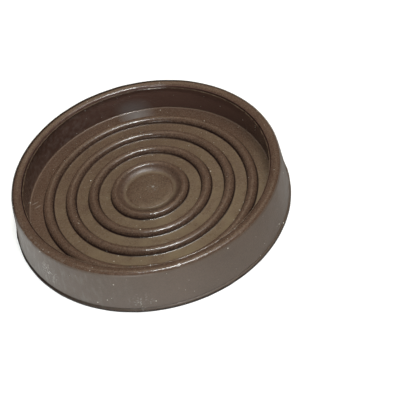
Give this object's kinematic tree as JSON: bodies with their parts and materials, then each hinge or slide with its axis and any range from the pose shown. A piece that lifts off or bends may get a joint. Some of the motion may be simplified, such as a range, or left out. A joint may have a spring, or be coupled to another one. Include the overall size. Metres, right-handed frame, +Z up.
{
  "type": "castor cup",
  "caption": "Round moulded brown rubber cup that stands under a furniture castor: drafted wall with a rounded lip, raised concentric rings on the floor and grip grooves on the underside.",
  "frame": {"origin": "middle of the underside, on the surface that the cup stands on", "axes": "+Z up along the axis of the cup; the grip grooves of the underside run along X"},
  "size_m": [0.0864, 0.0864, 0.0145],
  "materials": {
    "rubber": "satin moulded rubber, dusty, with light scuffs"
  },
  "bodies": {
    "root": {"castor_cup": "rubber"}
  },
  "joints": []
}
